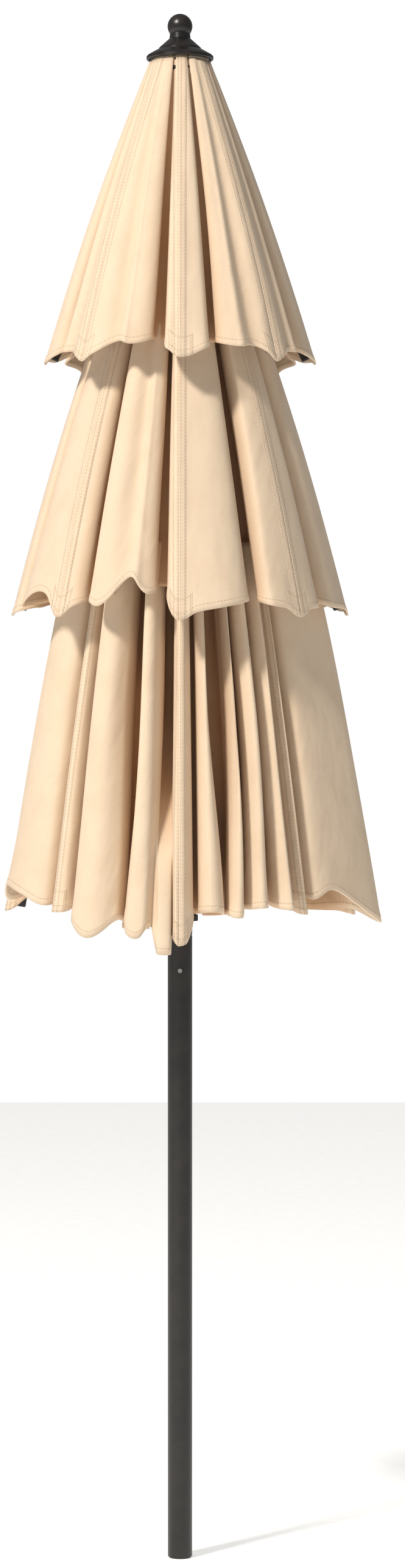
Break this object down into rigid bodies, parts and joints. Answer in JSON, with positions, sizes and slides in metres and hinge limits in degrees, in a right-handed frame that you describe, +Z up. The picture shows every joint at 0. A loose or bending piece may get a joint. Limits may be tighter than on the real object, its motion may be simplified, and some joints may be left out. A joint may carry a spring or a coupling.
{
  "type": "patio umbrella",
  "caption": "Furled three-tier market umbrella: ball finial and cap, tan fabric canopy on hinged ribs, sliding runner with struts, and a slim dark round pole.",
  "frame": {"origin": "centre of the pole's lower end, on the pole's axis", "axes": "+Z up along the pole, -Y the front, which the first rib faces"},
  "size_m": [0.5928, 0.5928, 2.4001],
  "materials": {
    "bronze_paint": "satin powder coat on aluminium tube",
    "rib_paint": "satin powder coat on steel",
    "steel": "zinc plated",
    "black_plastic": "fine moulded texture",
    "bronze_plastic": "semi-gloss moulded",
    "grip_rubber": "matt",
    "canopy_fabric": "woven polyester, tan"
  },
  "bodies": {
    "pole": {"pole_lower": "bronze_paint", "pole_upper": "bronze_paint", "joint_sleeve": "steel", "sleeve_rivets": "steel", "foot_plug": "black_plastic", "crown_hub": "black_plastic", "crown_pins": "steel", "top_cap": "bronze_plastic", "finial": "bronze_plastic"},
    "runner": {"runner_hub": "black_plastic", "runner_grip": "grip_rubber"},
    "latch": {"runner_latch": "black_plastic"},
    "rib_1": {"rib_1": "rib_paint", "tier_arms_1": "rib_paint", "rib_tips_1": "black_plastic", "strut_rivet_1": "steel"},
    "strut_1": {"strut_1": "rib_paint"},
    "gore_1": {"canopy_gore_1": "canopy_fabric"},
    "rib_2": {"rib_2": "rib_paint", "tier_arms_2": "rib_paint", "rib_tips_2": "black_plastic", "strut_rivet_2": "steel"},
    "strut_2": {"strut_2": "rib_paint"},
    "gore_2": {"canopy_gore_2": "canopy_fabric"},
    "rib_3": {"rib_3": "rib_paint", "tier_arms_3": "rib_paint", "rib_tips_3": "black_plastic", "strut_rivet_3": "steel"},
    "strut_3": {"strut_3": "rib_paint"},
    "gore_3": {"canopy_gore_3": "canopy_fabric"},
    "rib_4": {"rib_4": "rib_paint", "tier_arms_4": "rib_paint", "rib_tips_4": "black_plastic", "strut_rivet_4": "steel"},
    "strut_4": {"strut_4": "rib_paint"},
    "gore_4": {"canopy_gore_4": "canopy_fabric"},
    "rib_5": {"rib_5": "rib_paint", "tier_arms_5": "rib_paint", "rib_tips_5": "black_plastic", "strut_rivet_5": "steel"},
    "strut_5": {"strut_5": "rib_paint"},
    "gore_5": {"canopy_gore_5": "canopy_fabric"},
    "rib_6": {"rib_6": "rib_paint", "tier_arms_6": "rib_paint", "rib_tips_6": "black_plastic", "strut_rivet_6": "steel"},
    "strut_6": {"strut_6": "rib_paint"},
    "gore_6": {"canopy_gore_6": "canopy_fabric"},
    "rib_7": {"rib_7": "rib_paint", "tier_arms_7": "rib_paint", "rib_tips_7": "black_plastic", "strut_rivet_7": "steel"},
    "strut_7": {"strut_7": "rib_paint"},
    "gore_7": {"canopy_gore_7": "canopy_fabric"},
    "rib_8": {"rib_8": "rib_paint", "tier_arms_8": "rib_paint", "rib_tips_8": "black_plastic", "strut_rivet_8": "steel"},
    "strut_8": {"strut_8": "rib_paint"},
    "gore_8": {"canopy_gore_8": "canopy_fabric"}
  },
  "joints": [
    {"name": "runner_slide", "type": "slide", "parent": "pole", "child": "runner", "axis": [0, 0, 1], "range_m": [0, 0.7951]},
    {"name": "latch_press", "type": "slide", "parent": "runner", "child": "latch", "axis": [0.3827, -0.9239, 0], "range_m": [0, 0.0025], "stiffness_N_per_m": 400},
    {"name": "rib_hinge_1", "type": "hinge", "parent": "pole", "child": "rib_1", "pos_m": [0, -0.035, 2.29], "axis": [-1, 0, 0], "range_deg": [0, 61]},
    {"name": "strut_hinge_1", "type": "hinge", "parent": "rib_1", "child": "strut_1", "pos_m": [0, -0.13816, 1.67357], "axis": [-1, 0, 0], "range_deg": [-122, 0]},
    {"name": "gore_fan_1", "type": "hinge", "parent": "rib_1", "child": "gore_1", "pos_m": [0.36712, -0.8863, 1.7985], "axis": [0.3377, -0.8152, -0.4706], "range_deg": [0, 45.12], "deforming": ["canopy_gore_1"]},
    {"name": "rib_hinge_2", "type": "hinge", "parent": "pole", "child": "rib_2", "pos_m": [0.02475, -0.02475, 2.29], "axis": [-0.7071, -0.7071, 0], "range_deg": [0, 61]},
    {"name": "strut_hinge_2", "type": "hinge", "parent": "rib_2", "child": "strut_2", "pos_m": [0.09769, -0.09769, 1.67357], "axis": [-0.7071, -0.7071, 0], "range_deg": [-122, 0]},
    {"name": "gore_fan_2", "type": "hinge", "parent": "rib_2", "child": "gore_2", "pos_m": [0.8863, -0.36712, 1.7985], "axis": [0.8152, -0.3377, -0.4706], "range_deg": [0, 45.12], "deforming": ["canopy_gore_2"]},
    {"name": "rib_hinge_3", "type": "hinge", "parent": "pole", "child": "rib_3", "pos_m": [0.035, 0, 2.29], "axis": [0, -1, 0], "range_deg": [0, 61]},
    {"name": "strut_hinge_3", "type": "hinge", "parent": "rib_3", "child": "strut_3", "pos_m": [0.13816, 0, 1.67357], "axis": [0, -1, 0], "range_deg": [-122, 0]},
    {"name": "gore_fan_3", "type": "hinge", "parent": "rib_3", "child": "gore_3", "pos_m": [0.8863, 0.36712, 1.7985], "axis": [0.8152, 0.3377, -0.4706], "range_deg": [0, 45.12], "deforming": ["canopy_gore_3"]},
    {"name": "rib_hinge_4", "type": "hinge", "parent": "pole", "child": "rib_4", "pos_m": [0.02475, 0.02475, 2.29], "axis": [0.7071, -0.7071, 0], "range_deg": [0, 61]},
    {"name": "strut_hinge_4", "type": "hinge", "parent": "rib_4", "child": "strut_4", "pos_m": [0.09769, 0.09769, 1.67357], "axis": [0.7071, -0.7071, 0], "range_deg": [-122, 0]},
    {"name": "gore_fan_4", "type": "hinge", "parent": "rib_4", "child": "gore_4", "pos_m": [0.36712, 0.8863, 1.7985], "axis": [0.3377, 0.8152, -0.4706], "range_deg": [0, 45.12], "deforming": ["canopy_gore_4"]},
    {"name": "rib_hinge_5", "type": "hinge", "parent": "pole", "child": "rib_5", "pos_m": [0, 0.035, 2.29], "axis": [1, 0, 0], "range_deg": [0, 61]},
    {"name": "strut_hinge_5", "type": "hinge", "parent": "rib_5", "child": "strut_5", "pos_m": [0, 0.13816, 1.67357], "axis": [1, 0, 0], "range_deg": [-122, 0]},
    {"name": "gore_fan_5", "type": "hinge", "parent": "rib_5", "child": "gore_5", "pos_m": [-0.36712, 0.8863, 1.7985], "axis": [-0.3377, 0.8152, -0.4706], "range_deg": [0, 45.12], "deforming": ["canopy_gore_5"]},
    {"name": "rib_hinge_6", "type": "hinge", "parent": "pole", "child": "rib_6", "pos_m": [-0.02475, 0.02475, 2.29], "axis": [0.7071, 0.7071, 0], "range_deg": [0, 61]},
    {"name": "strut_hinge_6", "type": "hinge", "parent": "rib_6", "child": "strut_6", "pos_m": [-0.09769, 0.09769, 1.67357], "axis": [0.7071, 0.7071, 0], "range_deg": [-122, 0]},
    {"name": "gore_fan_6", "type": "hinge", "parent": "rib_6", "child": "gore_6", "pos_m": [-0.8863, 0.36712, 1.7985], "axis": [-0.8152, 0.3377, -0.4706], "range_deg": [0, 45.12], "deforming": ["canopy_gore_6"]},
    {"name": "rib_hinge_7", "type": "hinge", "parent": "pole", "child": "rib_7", "pos_m": [-0.035, 0, 2.29], "axis": [0, 1, 0], "range_deg": [0, 61]},
    {"name": "strut_hinge_7", "type": "hinge", "parent": "rib_7", "child": "strut_7", "pos_m": [-0.13816, 0, 1.67357], "axis": [0, 1, 0], "range_deg": [-122, 0]},
    {"name": "gore_fan_7", "type": "hinge", "parent": "rib_7", "child": "gore_7", "pos_m": [-0.8863, -0.36712, 1.7985], "axis": [-0.8152, -0.3377, -0.4706], "range_deg": [0, 45.12], "deforming": ["canopy_gore_7"]},
    {"name": "rib_hinge_8", "type": "hinge", "parent": "pole", "child": "rib_8", "pos_m": [-0.02475, -0.02475, 2.29], "axis": [-0.7071, 0.7071, 0], "range_deg": [0, 61]},
    {"name": "strut_hinge_8", "type": "hinge", "parent": "rib_8", "child": "strut_8", "pos_m": [-0.09769, -0.09769, 1.67357], "axis": [-0.7071, 0.7071, 0], "range_deg": [-122, 0]},
    {"name": "gore_fan_8", "type": "hinge", "parent": "rib_8", "child": "gore_8", "pos_m": [-0.36712, -0.8863, 1.7985], "axis": [-0.3377, -0.8152, -0.4706], "range_deg": [0, 45.12], "deforming": ["canopy_gore_8"]}
  ],
  "couplings": [
    {"joint": "rib_hinge_1", "follows": "runner_slide", "rad_per_m": 1.3171},
    {"joint": "strut_hinge_1", "follows": "runner_slide", "rad_per_m": -2.6341},
    {"joint": "gore_fan_1", "follows": "runner_slide", "rad_per_m": 0.96858},
    {"joint": "rib_hinge_2", "follows": "runner_slide", "rad_per_m": 1.3171},
    {"joint": "strut_hinge_2", "follows": "runner_slide", "rad_per_m": -2.6341},
    {"joint": "gore_fan_2", "follows": "runner_slide", "rad_per_m": 0.96858},
    {"joint": "rib_hinge_3", "follows": "runner_slide", "rad_per_m": 1.3171},
    {"joint": "strut_hinge_3", "follows": "runner_slide", "rad_per_m": -2.6341},
    {"joint": "gore_fan_3", "follows": "runner_slide", "rad_per_m": 0.96858},
    {"joint": "rib_hinge_4", "follows": "runner_slide", "rad_per_m": 1.3171},
    {"joint": "strut_hinge_4", "follows": "runner_slide", "rad_per_m": -2.6341},
    {"joint": "gore_fan_4", "follows": "runner_slide", "rad_per_m": 0.96858},
    {"joint": "rib_hinge_5", "follows": "runner_slide", "rad_per_m": 1.3171},
    {"joint": "strut_hinge_5", "follows": "runner_slide", "rad_per_m": -2.6341},
    {"joint": "gore_fan_5", "follows": "runner_slide", "rad_per_m": 0.96858},
    {"joint": "rib_hinge_6", "follows": "runner_slide", "rad_per_m": 1.3171},
    {"joint": "strut_hinge_6", "follows": "runner_slide", "rad_per_m": -2.6341},
    {"joint": "gore_fan_6", "follows": "runner_slide", "rad_per_m": 0.96858},
    {"joint": "rib_hinge_7", "follows": "runner_slide", "rad_per_m": 1.3171},
    {"joint": "strut_hinge_7", "follows": "runner_slide", "rad_per_m": -2.6341},
    {"joint": "gore_fan_7", "follows": "runner_slide", "rad_per_m": 0.96858},
    {"joint": "rib_hinge_8", "follows": "runner_slide", "rad_per_m": 1.3171},
    {"joint": "strut_hinge_8", "follows": "runner_slide", "rad_per_m": -2.6341},
    {"joint": "gore_fan_8", "follows": "runner_slide", "rad_per_m": 0.96858}
  ]
}
